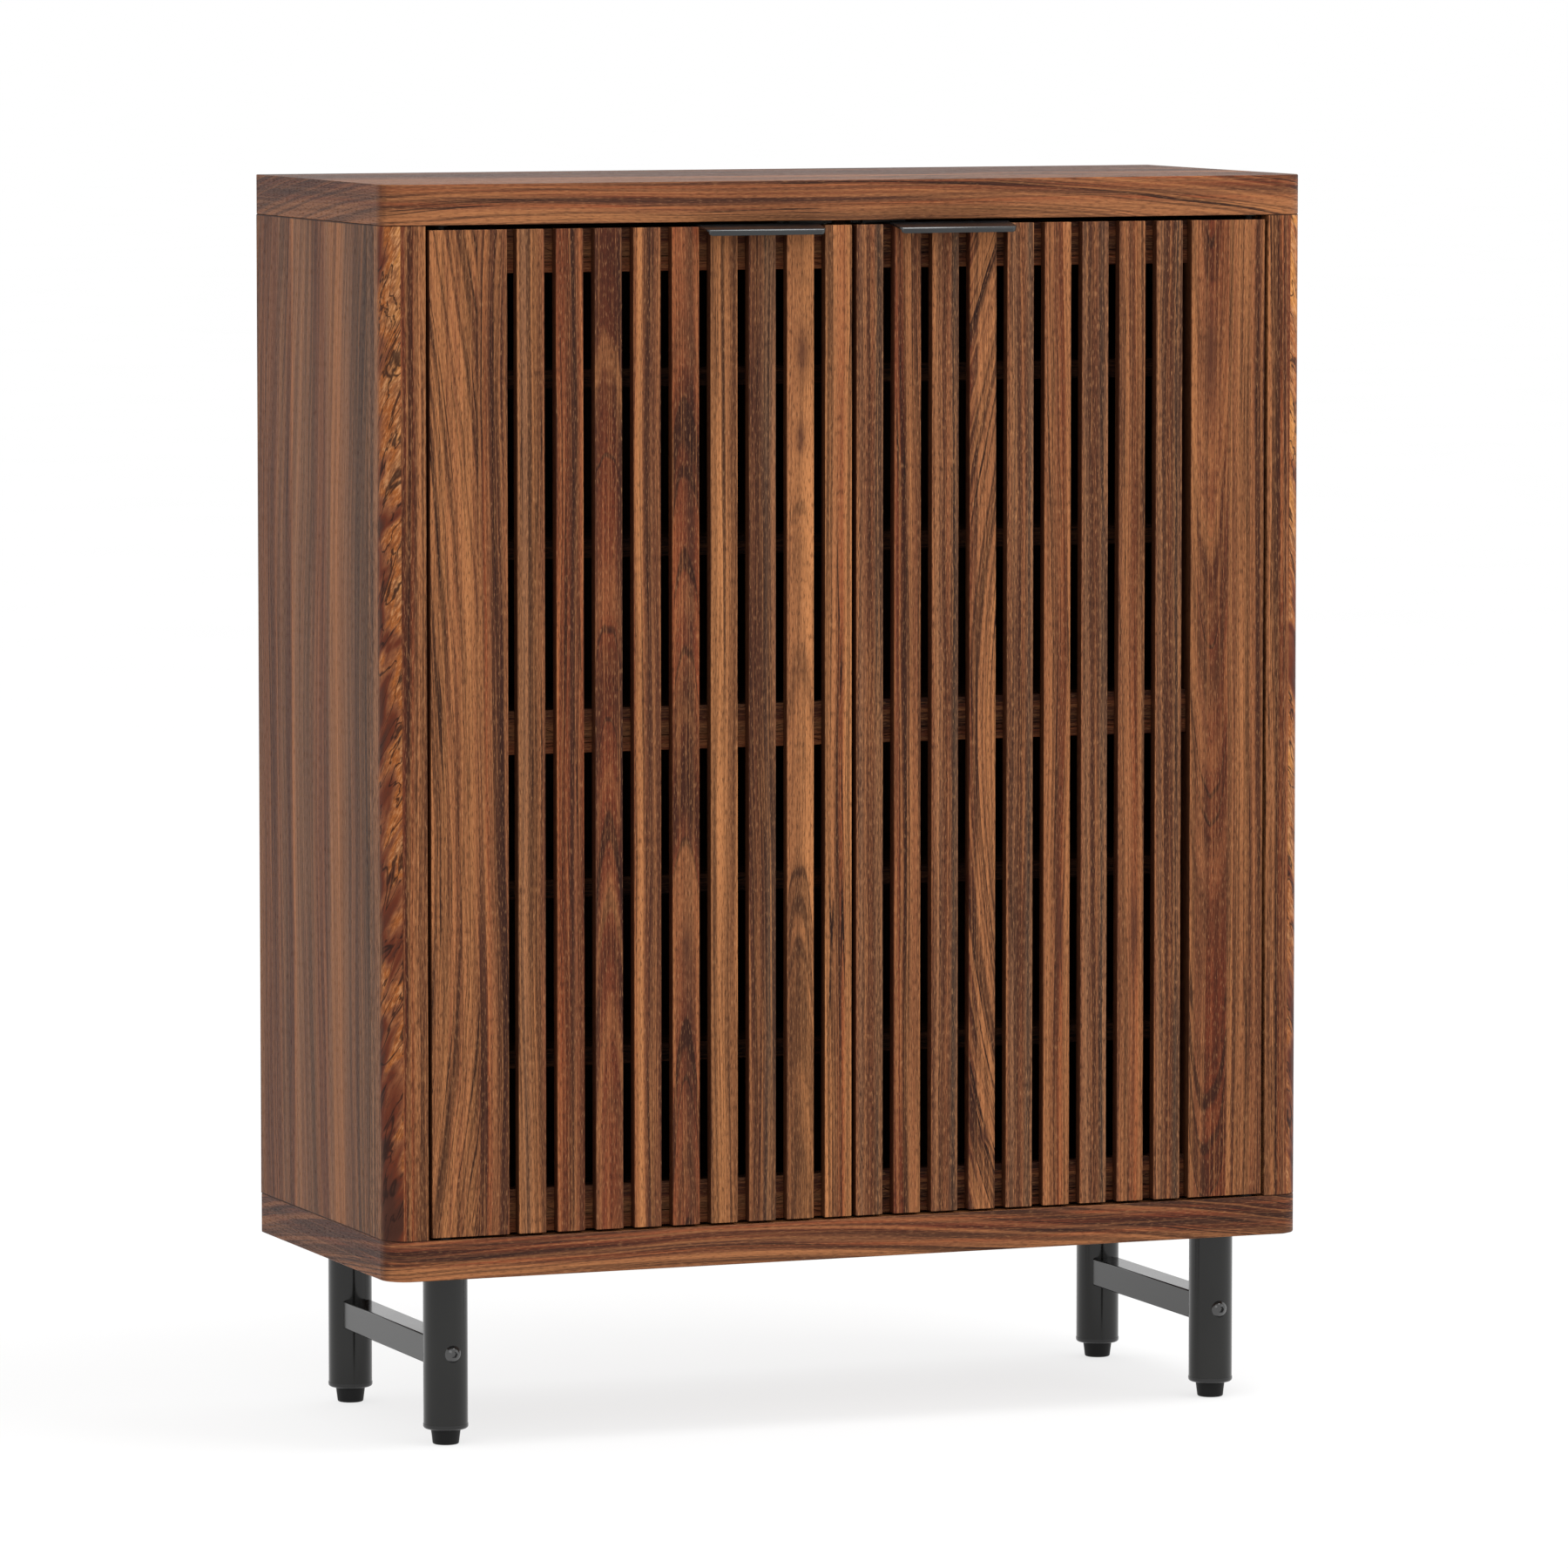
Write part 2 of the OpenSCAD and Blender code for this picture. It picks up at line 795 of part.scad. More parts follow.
top_panel();
bottom_panel();
side_panel(left);  // side_panel_left
side_panel(right);  // side_panel_right
front_post(left);  // front_post_left
front_post(right);  // front_post_right
back_panel();
centre_partition();
for (i = [1:shelf_n]) shelf(i);
shelf_pins();
dowels();
cam_locks();
pivot_bushes();
door_catches();
catch_magnets();
leg(left, 0);  // leg_front_left
leg(right, 0);  // leg_front_right
leg(left, 1);  // leg_rear_left
leg(right, 1);  // leg_rear_right
leg_screws();
leg_end_caps();
foot_glides();
stretcher(left);  // stretcher_left
stretcher(right);  // stretcher_right
stretcher_bolts();
panel_screws();
for (side = [left, right]) {
    door = side == left ? "left_door_" : "right_door_";
    on_side(side) stile();
    for (i = [1:slat_n]) on_side(side) slat(i);
    on_side(side) rails();
    on_side(side) handle();
    on_side(side) hinge_pivots();
    on_side(side) strike_plate();
    on_side(side) door_screws();
}
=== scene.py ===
import math
from dataclasses import dataclass, replace

import bpy
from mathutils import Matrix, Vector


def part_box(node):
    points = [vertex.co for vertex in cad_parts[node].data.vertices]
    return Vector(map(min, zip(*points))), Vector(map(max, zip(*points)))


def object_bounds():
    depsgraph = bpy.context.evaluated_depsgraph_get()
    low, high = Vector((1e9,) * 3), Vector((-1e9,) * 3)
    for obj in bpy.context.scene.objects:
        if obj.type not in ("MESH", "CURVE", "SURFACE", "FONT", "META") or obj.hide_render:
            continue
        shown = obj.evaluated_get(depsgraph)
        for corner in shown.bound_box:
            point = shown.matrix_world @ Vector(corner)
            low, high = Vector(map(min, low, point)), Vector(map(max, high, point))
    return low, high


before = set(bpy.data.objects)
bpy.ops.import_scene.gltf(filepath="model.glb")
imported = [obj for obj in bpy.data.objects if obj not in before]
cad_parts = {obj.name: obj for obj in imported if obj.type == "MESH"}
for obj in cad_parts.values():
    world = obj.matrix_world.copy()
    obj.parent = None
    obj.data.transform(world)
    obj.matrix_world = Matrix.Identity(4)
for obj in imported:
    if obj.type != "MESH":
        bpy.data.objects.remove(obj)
cad_low, cad_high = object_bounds()

# Sizes in metres
MM = 0.001
CORNER_RADIUS = 0.021      # of the boards' and posts' outer front corners
RAIL_HEIGHT = 0.0352
POST_BANDS_WIDTH = 0.0708  # from a post's edge at the door, over the front and round the corner

SIDES = ("left", "right")
BOARDS = ("top_panel", "bottom_panel")
SLATS = [f"slat_{i}" for i in range(1, 10)]
SHELVES = [f"shelf_{i}" for i in range(1, 6)]

# ---- tones of the walnut, as they look in white light ----

TONES = {
    "ink": (42, 25, 20),
    "shadow": (58, 29, 18),
    "dark": (71, 41, 31),
    "slate": (76, 59, 47),
    "peat": (74, 52, 39),
    "mahogany": (96, 46, 29),
    "umber": (95, 56, 38),
    "grey": (104, 71, 51),
    "ash": (122, 84, 60),
    "red": (114, 57, 36),
    "rust": (132, 69, 41),
    "brown": (124, 74, 48),
    "amber": (150, 86, 42),
    "sand": (141, 91, 57),
    "tan": (154, 98, 62),
    "honey": (184, 122, 64),
    "gold": (182, 120, 74),
    "pale": (204, 147, 100),
}


def linear(rgb):
    """Scene colour of three display values from 0 to 255."""
    def channel(value):
        value /= 255
        return value / 12.92 if value <= 0.04045 else ((value + 0.055) / 1.055) ** 2.4

    return (*(channel(v) for v in rgb), 1.0)


def tone(name):
    return linear(TONES[name])


# ---- node trees ----

class Tree:
    """Adds nodes to a material. A value may be a number, a vector or another node's output."""

    def __init__(self, name):
        self.material = bpy.data.materials.new(name)
        self.material.use_nodes = True
        self.nodes = self.material.node_tree.nodes
        self.links = self.material.node_tree.links
        self.shader = self.nodes["Principled BSDF"]

    def put(self, socket, value):
        if isinstance(value, bpy.types.NodeSocket):
            self.links.new(value, socket)
        else:
            socket.default_value = value

    def shade(self, name, value):
        """Sets one input of the shader."""
        self.put(self.shader.inputs[name], value)

    def node(self, kind, inputs=(), **settings):
        made = self.nodes.new(kind)
        for key, value in settings.items():
            setattr(made, key, value)
        for index, value in enumerate(inputs):
            self.put(made.inputs[index], value)
        return made

    def math(self, operation, *values):
        return self.node("ShaderNodeMath", values, operation=operation).outputs[0]

    def add(self, *values):
        total = values[0]
        for value in values[1:]:
            total = self.math("ADD", total, value)
        return total

    def minus(self, a, b):
        return self.math("SUBTRACT", a, b)

    def times(self, a, b):
        return self.math("MULTIPLY", a, b)

    def absolute(self, value):
        return self.math("ABSOLUTE", value)

    def split(self, vector):
        return self.node("ShaderNodeSeparateXYZ", (vector,)).outputs

    def join(self, x, y, z):
        return self.node("ShaderNodeCombineXYZ", (x, y, z)).outputs[0]

    def scaled(self, vector, scale, offset=(0, 0, 0)):
        """Vector times scale plus offset."""
        made = self.node("ShaderNodeVectorMath", (vector, scale, offset), operation="MULTIPLY_ADD")
        return made.outputs[0]

    def noise(self, vector, detail=2.0, rough=0.5, distortion=0.0):
        made = self.node("ShaderNodeTexNoise")
        self.put(made.inputs["Vector"], vector)
        self.put(made.inputs["Scale"], 1.0)
        self.put(made.inputs["Detail"], detail)
        self.put(made.inputs["Roughness"], rough)
        self.put(made.inputs["Distortion"], distortion)
        return made.outputs["Fac"]

    def between(self, value, low, high):
        """0 at low and 1 at high, with a smooth step."""
        limits = (value, low, high, 0.0, 1.0)
        return self.node("ShaderNodeMapRange", limits, interpolation_type="SMOOTHSTEP").outputs[0]

    def bands(self, value, stops):
        """The tones named in stops, which are (value, tone) pairs, one fading into the next."""
        made = self.node("ShaderNodeValToRGB", (value,))
        elements = made.color_ramp.elements
        for element, (place, name) in zip(elements, (stops[0], stops[-1])):
            element.position = place
            element.color = tone(name)
        for place, name in stops[1:-1]:
            elements.new(place).color = tone(name)
        return made.outputs[0]

    def mix(self, share, a, b, blend="MIX"):
        made = self.node("ShaderNodeMix", data_type="RGBA", blend_type=blend)
        self.put(made.inputs[0], share)
        self.put(made.inputs[6], a)
        self.put(made.inputs[7], b)
        return made.outputs[2]

    def tint(self, colour, share, most, name):
        """Colour with at most the share called most of a tone over it."""
        return self.mix(self.times(share, most), colour, tone(name))

    def bump(self, height, strength, distance):
        made = self.node("ShaderNodeBump")
        self.put(made.inputs["Strength"], strength)
        self.put(made.inputs["Distance"], distance)
        self.put(made.inputs["Height"], height)
        self.shade("Normal", made.outputs[0])

    def place(self):
        return self.node("ShaderNodeTexCoord").outputs["Object"]

    def normal(self):
        return self.node("ShaderNodeTexCoord").outputs["Normal"]


# ---- where the grain runs ----
# Each function gives (across the grain, through the board, along the grain) in metres, and the width
# that the bands of colour span. Through the board isn't always counted from its face.

def upright_grain(tree, low, high):
    x, y, z = tree.split(tree.place())
    return tree.join(tree.minus(x, low.x), tree.minus(y, low.y), z), high.x - low.x


def side_grain(tree, low, high):
    x, y, z = tree.split(tree.place())
    return tree.join(tree.minus(y, low.y), x, z), high.y - low.y


def rail_grain(tree, low, high):
    """The three rails of a door are one node, so the place across is taken within each rail."""
    x, y, z = tree.split(tree.place())
    pitch = (high.z - low.z - RAIL_HEIGHT) / 2
    within = tree.math("MODULO", tree.minus(z, low.z), pitch)
    return tree.join(within, y, x), RAIL_HEIGHT


def shelf_grain(tree, low, high):
    x, y, z = tree.split(tree.place())
    return tree.join(tree.minus(y, low.y), z, x), high.y - low.y


def around_corner(tree, low, high, inner_x):
    """Distance along the outside of a rounded front corner, from inner_x on the front to the back."""
    x, y, _ = tree.split(tree.place())
    side = tree.absolute(x)
    corner_x = (high.x if high.x > 0 else -low.x) - CORNER_RADIUS
    dx = tree.minus(side, corner_x)
    dy = tree.minus(y, low.y + CORNER_RADIUS)
    forward = tree.math("MAXIMUM", tree.times(dy, -1.0), 1e-5)
    angle = tree.math("ARCTAN2", tree.math("MAXIMUM", dx, 0.0), forward)
    front = tree.minus(tree.math("MINIMUM", side, corner_x), inner_x)
    back = tree.math("MAXIMUM", dy, 0.0)
    return tree.add(front, tree.times(angle, CORNER_RADIUS), back)


def post_grain(tree, low, high):
    _, y, z = tree.split(tree.place())
    across = around_corner(tree, low, high, min(abs(low.x), abs(high.x)))
    return tree.join(across, tree.times(y, POST_DEPTH_SHARE), z), POST_BANDS_WIDTH


def board_grain(tree, low, high):
    """The faces have their grain along X, and the edge has it round the corners along itself."""
    x, y, z = tree.split(tree.place())
    along = tree.times(around_corner(tree, low, high, 0.0), tree.math("SIGN", x))
    edge = tree.join(tree.minus(z, low.z), 0.0, along)
    face = tree.join(y, z, x)
    flat = tree.math("GREATER_THAN", tree.absolute(tree.split(tree.normal())[2]), 0.8)
    made = tree.node("ShaderNodeMix", data_type="VECTOR")
    tree.put(made.inputs[0], flat)
    tree.put(made.inputs[4], edge)
    tree.put(made.inputs[5], face)
    return made.outputs[1], high.z - low.z


# ---- walnut ----

@dataclass
class Look:
    """How the walnut of one node looks.

    Places along the grain are heights above the floor, or distances to the right of the middle on the
    boards that lie flat."""
    pith: tuple = (-3.0, 0.02)   # the tree's centre: board widths across, and metres before the face
    tilt: tuple = (0.003, 0.0)   # how fast the centre moves along the grain; if near, it draws arches
    bow: tuple = (0.0, 0.5)      # how much the rings bend, and the place along the grain it starts from
    glued: float = 0.0           # place of a glued joint, from 0 to 1; past it the grain is straight
    waver: float = 6.0           # how far the grain wanders, in mm
    drift: float = 0.6           # the share of that which the bands of colour follow
    shiver: float = 0.3          # how far the fibres shake, in mm
    eyes: tuple = ()             # dark ovals that the grain bends around, as spot() takes them
    contrast: float = 1.0        # strength of the rings, veins and lines
    fine: float = 1.0            # strength of the fibres, pores and flecks
    gloss: float = 0.06          # specular level of the lacquer
    shade: float = 1.0           # painted shade: darkens the whole node
    back_shade: float = 0.0      # lighter painted shade that takes the place of shade on the face to the back, if it isn't 0
    painted_face_shade: float = 1.0      # painted shade: darkens the faces that are turned up or down
    painted_side_shade: float = 0.0      # how much painted shade is on the faces that are turned left or right
    painted_seam_shade: float = 0.0           # height of the lines of painted shade in the joints at the top and bottom ends, in mm
    bark: bool = False           # whether the coarse figure of the posts is on it


SEED_STEPS = (1.37, 0.71, 2.93)  # how far a seed of 1 moves the pattern
SLOW_REACH = 2.6                 # the slow wander, as a multiple of waver
RIPPLE_REACH = 0.4               # the short ripples, the same
UNEVEN_REACH = 0.3               # the uneven width of the rings, the same
DEPTH_SHARE = 0.6                # how fast the figure changes through the board
VEIN_LEVEL = 0.53                # value of the ring noise along which the dark veins run
EYE_BEND = 2.2 * MM              # how far the rings are pushed aside by an eye
EYE_SHARE = 0.8                  # how dark the middle of an eye is
POST_DEPTH_SHARE = 0.2           # how fast the figure of a post changes from front to back
LACQUER_ROUGHNESS = 0.4
PORE_DEPTH = 0.12 * MM

# Noise cells per metre: across the grain, through the board and along the grain
SLOW_CELLS = (8, 8, 1.7)
RIPPLE_CELLS = (50, 50, 5)
UNEVEN_CELLS = (70, 70, 8)
SHAKE_CELLS = (220, 220, 40)
CLOUD_CELLS = (24, 24, 2.2)
RING_CELLS = (150, 150, 0.9)
LINE_CELLS = (330, 330, 1.3)
FIBRE_CELLS = (820, 820, 6)
DASH_CELLS = (1400, 1400, 150)
BARK_CELLS = (36, 36, 13)
TORN_CELLS = (42, 42, 13)
GRIT_CELLS = (520, 520, 170)
RAGGED_CELLS = (20, 20, 14)


def neutral(value):
    """A grey that is given as a scene value."""
    return (value, value, value, 1)


def spot(tree, u, w, oval):
    """1 in the middle of an oval and 0 away from it.

    oval is (across, along, half width, half length) in mm."""
    across, along, wide, tall = (value * MM for value in oval)
    du = tree.times(tree.minus(u, across), 1 / wide)
    dw = tree.times(tree.minus(w, along), 1 / tall)
    square = tree.add(tree.times(du, du), tree.times(dw, dw))
    return tree.math("EXPONENT", tree.times(square, -1.0))


def ring_distance(tree, look, across, v, w, width):
    """Distance from the tree's leaning centre, which the growth rings follow."""
    ring_u = tree.add(across, -look.pith[0] * width, tree.times(w, look.tilt[0]))
    speed, height = look.bow
    if speed:
        rise = tree.add(w, -height)
        ring_u = tree.add(ring_u, tree.times(tree.times(rise, rise), speed))
    ring_v = tree.add(v, look.pith[1], tree.times(w, look.tilt[1]))
    return tree.math("SQRT", tree.add(tree.times(ring_u, ring_u), tree.times(ring_v, ring_v)))


def walnut_colour(tree, look, bands, place, width, shift):
    """Colour of the veneer, and the noise of its lines and fibres and the strength of its pores."""
    shifted = tree.scaled(place, (1, 1, 1), shift)
    u, v, w = tree.split(place)

    # The grain wanders: slowly over the board, and in short ripples
    slow = tree.noise(tree.scaled(shifted, SLOW_CELLS), 1.0)
    ripple = tree.noise(tree.scaled(shifted, RIPPLE_CELLS), 2.0)
    wander = tree.add(
        tree.times(tree.minus(slow, 0.5), look.waver * SLOW_REACH * MM),
        tree.times(tree.minus(ripple, 0.5), look.waver * RIPPLE_REACH * MM),
    )
    across = tree.add(u, wander)

    # Rings, veins and lines follow the distance from the tree's centre
    uneven = tree.noise(tree.scaled(shifted, UNEVEN_CELLS), 1.0)
    radius = ring_distance(tree, look, across, v, w, width)
    radius = tree.add(radius, tree.times(uneven, look.waver * UNEVEN_REACH * MM))
    eyes = [spot(tree, u, w, oval) for oval in look.eyes]
    for eye in eyes:
        radius = tree.add(radius, tree.times(eye, EYE_BEND))
    if look.glued:
        past = tree.math("GREATER_THAN", u, look.glued * width)
        radius = tree.add(radius, tree.times(past, tree.minus(across, radius)))
    depth = tree.times(v, DEPTH_SHARE)
    flow = tree.scaled(tree.join(radius, depth, w), (1, 1, 1), shift)

    # Fibres and pores stay straight and shake a little
    shake = tree.noise(tree.scaled(shifted, SHAKE_CELLS), 1.0)
    shaken = tree.add(across, tree.times(tree.minus(shake, 0.5), look.shiver * 2 * MM))
    straight = tree.scaled(tree.join(shaken, depth, w), (1, 1, 1), shift)

    cloud = tree.noise(tree.scaled(shifted, CLOUD_CELLS), 2.0)
    rings = tree.noise(tree.scaled(flow, RING_CELLS), 2.0, 0.55)
    vein = tree.absolute(tree.minus(rings, VEIN_LEVEL))
    lines = tree.noise(tree.scaled(flow, LINE_CELLS), 1.0)
    fibres = tree.noise(tree.scaled(straight, FIBRE_CELLS), 1.0)
    dashes = tree.noise(tree.scaled(straight, DASH_CELLS), 1.0)
    pores = tree.between(dashes, 0.54, 0.64)
    flecks = tree.between(dashes, 0.42, 0.32)

    # Broad bands of colour, then each figure over them: (where it shows, its greatest share, its tone)
    band_place = tree.times(tree.add(u, tree.times(wander, look.drift)), 1 / width)
    colour = tree.bands(band_place, bands)
    figures = [
        (tree.between(cloud, 0.50, 0.68), 0.42, "umber"),
        (tree.between(cloud, 0.46, 0.30), 0.20, "tan"),
        (tree.between(rings, 0.50, 0.66), 0.58 * look.contrast, "ink"),
        (tree.between(rings, 0.48, 0.34), 0.34 * look.contrast, "tan"),
        (tree.between(vein, 0.016, 0.005), 0.78 * look.contrast, "ink"),
        (tree.between(lines, 0.51, 0.66), 0.48 * look.contrast, "ink"),
        (tree.between(lines, 0.47, 0.33), 0.30 * look.contrast, "gold"),
        (tree.between(fibres, 0.50, 0.64), 0.36 * look.fine, "ink"),
        (tree.between(fibres, 0.46, 0.32), 0.26 * look.fine, "gold"),
        (pores, 0.50 * look.fine, "ink"),
        (flecks, 0.22 * look.fine, "pale"),
    ]
    figures += [(eye, EYE_SHARE, "dark") for eye in eyes]
    for share, most, name in figures:
        colour = tree.tint(colour, share, most, name)
    if look.bark:
        colour = tree.mix(bark_share(tree, place), colour, bark_figure(tree, place, shifted))
    return colour, lines, fibres, pores


def turned(tree, part):
    """1 on the faces where this part of the normal is near 1."""
    return tree.between(part, 0.75, 0.95)


def shade_faces(tree, look, colour, w, low, high):
    """Paints shade: darkens the node or some of its faces, and draws lines of painted shade in the joints
    at its ends.
    """
    across, backward, up = tree.split(tree.normal())
    # Painted shade: the faces turned left or right are darkened towards the shadow tone
    if look.painted_side_shade:
        colour = tree.tint(colour, turned(tree, tree.absolute(across)), look.painted_side_shade, "shadow")
    # Painted shade on the faces turned up or down
    if look.painted_face_shade != 1.0:
        face = turned(tree, tree.absolute(up))
        colour = tree.mix(face, colour, neutral(look.painted_face_shade), "MULTIPLY")
    # Painted shade: dark lines along the top and bottom ends, in the joints with the boards
    if look.painted_seam_shade:
        from_middle = tree.absolute(tree.add(w, -(low.z + high.z) / 2))
        inset = tree.minus((high.z - low.z) / 2, from_middle)
        line = tree.between(inset, look.painted_seam_shade * MM, look.painted_seam_shade * 0.4 * MM)
        colour = tree.tint(colour, line, 0.85, "ink")
    # Painted shade over the whole node, lighter on the face to the back where back_shade is given
    if look.shade != 1.0:
        factor = neutral(look.shade)
        if look.back_shade:
            factor = tree.mix(turned(tree, backward), factor, neutral(look.back_shade))
        colour = tree.mix(1.0, colour, factor, "MULTIPLY")
    return colour


def walnut(node, grain, bands, seed, look):
    """Walnut veneer on one node. bands are (place across the board from 0 to 1, tone) pairs."""
    tree = Tree(f"walnut_{node}")
    low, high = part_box(node)
    place, width = grain(tree, low, high)
    shift = tuple(seed * step for step in SEED_STEPS)
    colour, lines, fibres, pores = walnut_colour(tree, look, bands, place, width, shift)
    colour = shade_faces(tree, look, colour, tree.split(place)[2], low, high)
    tree.shade("Base Color", colour)
    tree.shade("Specular IOR Level", look.gloss)

    # The lacquer is duller over the pores and sinks a little into them
    tree.shade("Roughness", tree.add(LACQUER_ROUGHNESS, tree.times(pores, 0.2), tree.times(fibres, 0.12)))
    height = tree.add(tree.times(fibres, -0.5), tree.times(lines, -0.5), tree.times(pores, -1.0))
    tree.bump(height, 0.4, PORE_DEPTH)
    return tree.material


# The coarse figure of the posts, across from the edge at the door
BARK_SEAM = (20.5 * MM, 21.3 * MM)  # starts here, with a sharp seam
BARK_END = (56 * MM, 46 * MM)       # fades out here, along a ragged line
RAGGED_REACH = 14 * MM
BARK_MIDDLE = (32 * MM, 0.58)       # place across and height where its tone is in the middle
BARK_STOPS = [(0.0, "ink"), (0.28, "dark"), (0.38, "mahogany"), (0.46, "brown"), (0.54, "amber"),
              (0.64, "sand"), (0.80, "honey")]


def bark_share(tree, place):
    """Where the coarse figure lies: on the round corner of a post."""
    u = tree.split(place)[0]
    ragged = tree.times(tree.noise(tree.scaled(place, RAGGED_CELLS), 2.0), RAGGED_REACH)
    rise = tree.between(u, *BARK_SEAM)
    fall = tree.between(tree.add(u, ragged), *BARK_END)
    return tree.times(rise, fall)


def bark_figure(tree, place, shifted):
    """Speckled gold cells, lighter upwards and towards the seam, with dark torn lines between them."""
    u, _, height = tree.split(place)
    a, v, w = tree.split(shifted)
    slanted = tree.join(tree.add(a, tree.times(w, 0.5)), v, w)
    cells = tree.noise(tree.scaled(slanted, BARK_CELLS), 2.0, 0.55, 1.0)
    middle_u, middle_height = BARK_MIDDLE
    to_seam = tree.times(tree.add(u, -middle_u), -8.0)
    upwards = tree.times(tree.add(height, -middle_height), 0.24)
    cells = tree.add(cells, to_seam, upwards)
    torn = tree.noise(tree.scaled(slanted, TORN_CELLS), 3.0, 0.55, 1.2)
    grit = tree.noise(tree.scaled(slanted, GRIT_CELLS), 2.0, 0.6)
    colour = tree.bands(cells, BARK_STOPS)
    colour = tree.tint(colour, tree.between(grit, 0.52, 0.62), 0.42, "dark")
    light = tree.times(tree.between(grit, 0.48, 0.38), tree.between(cells, 0.40, 0.62))
    colour = tree.tint(colour, light, 0.5, "pale")
    crack = tree.absolute(tree.minus(torn, 0.5))
    return tree.tint(colour, tree.between(crack, 0.026, 0.006), 0.85, "ink")


# ---- metal, plastic and plain wood ----

def changed(rgb, factor, plus=0):
    """Scene colour of display values that are made lighter or darker."""
    return linear(tuple(value * factor + plus for value in rgb))


def coated_metal(name, colour, rough, bump=0.05, gloss=0.5):
    """Powder coat: a fine orange peel with slightly uneven gloss and lighter patches."""
    tree = Tree(name)
    place = tree.place()
    peel = tree.noise(tree.scaled(place, (1400,) * 3), 2.0)
    patch = tree.noise(tree.scaled(place, (23, 23, 9)), 3.0)
    lighter = changed(colour, 1.35, 6)
    tree.shade("Base Color", tree.mix(tree.between(patch, 0.35, 0.75), linear(colour), lighter))
    tree.shade("Roughness", tree.add(rough - 0.05, tree.times(patch, 0.08), tree.times(peel, 0.04)))
    tree.shade("Specular IOR Level", gloss)
    tree.bump(peel, bump, 0.1 * MM)
    return tree.material


def moulded_plastic(name, colour, rough, gloss=0.5):
    tree = Tree(name)
    place = tree.place()
    grain = tree.noise(tree.scaled(place, (2600,) * 3), 1.0)
    patch = tree.noise(tree.scaled(place, (60,) * 3), 3.0)
    lighter = changed(colour, 1.2, 5)
    tree.shade("Base Color", tree.mix(tree.between(patch, 0.3, 0.8), linear(colour), lighter))
    tree.shade("Roughness", tree.add(rough, tree.times(grain, 0.1)))
    tree.shade("Specular IOR Level", gloss)
    tree.bump(grain, 0.12, 0.1 * MM)
    return tree.material


def plated_steel(name, colour, rough):
    """Zinc plate: grey metal with a faint mottle and fine scratches."""
    tree = Tree(name)
    place = tree.place()
    mottle = tree.noise(tree.scaled(place, (180,) * 3), 4.0, 0.6)
    scratch = tree.noise(tree.scaled(place, (2400, 2400, 160)), 2.0)
    darker = changed(colour, 0.78)
    tree.shade("Base Color", tree.mix(tree.between(mottle, 0.35, 0.7), linear(colour), darker))
    tree.shade("Roughness", tree.add(rough, tree.times(scratch, 0.15)))
    tree.shade("Metallic", 1.0)
    tree.bump(scratch, 0.08, 0.05 * MM)
    return tree.material


def pale_wood(name, colour):
    tree = Tree(name)
    fibre = tree.noise(tree.scaled(tree.place(), (700, 700, 40)), 2.0)
    darker = changed(colour, 0.8)
    tree.shade("Base Color", tree.mix(tree.between(fibre, 0.4, 0.7), linear(colour), darker))
    tree.shade("Roughness", tree.add(0.6, tree.times(fibre, 0.15)))
    tree.bump(fibre, 0.2, 0.1 * MM)
    return tree.material


# ---- which finish goes on which node ----

# Bands of colour across the grain, in the direction in which the node's grain function counts: from
# left to right, from front to back, upwards, or on a post from the door round the corner
LEFT_BANDS = {
    "stile": [(0.0, "sand"), (0.05, "tan"), (0.20, "sand"), (0.24, "brown"), (0.28, "tan"),
              (0.36, "brown"), (0.42, "tan"), (0.53, "sand"), (0.60, "brown"), (0.62, "umber"),
              (0.68, "dark"), (0.72, "rust"), (0.76, "brown"), (0.80, "umber"), (0.86, "umber"),
              (0.92, "dark"), (1.0, "brown")],
    "slat_1": [(0.0, "sand"), (0.3, "ash"), (0.6, "sand"), (0.8, "tan"), (1.0, "brown")],
    "slat_2": [(0.0, "rust"), (0.4, "rust"), (0.58, "dark"), (0.7, "brown"), (1.0, "rust")],
    "slat_3": [(0.0, "umber"), (0.3, "red"), (0.7, "mahogany"), (1.0, "dark")],
    "slat_4": [(0.0, "red"), (0.25, "gold"), (0.42, "brown"), (0.6, "dark"), (0.8, "umber"),
               (1.0, "umber")],
    "slat_5": [(0.0, "rust"), (0.35, "red"), (0.7, "dark"), (0.85, "red"), (1.0, "rust")],
    "slat_6": [(0.0, "sand"), (0.35, "gold"), (0.7, "sand"), (0.9, "tan"), (1.0, "gold")],
    "slat_7": [(0.0, "umber"), (0.4, "umber"), (0.7, "slate"), (1.0, "ash")],
    "slat_8": [(0.0, "tan"), (0.45, "sand"), (0.75, "gold"), (1.0, "gold")],
    "slat_9": [(0.0, "gold"), (0.35, "tan"), (0.6, "rust"), (0.8, "gold"), (1.0, "gold")],
}
ARCHED = Look(pith=(0.55, 0.012), tilt=(0.002, 0.04))
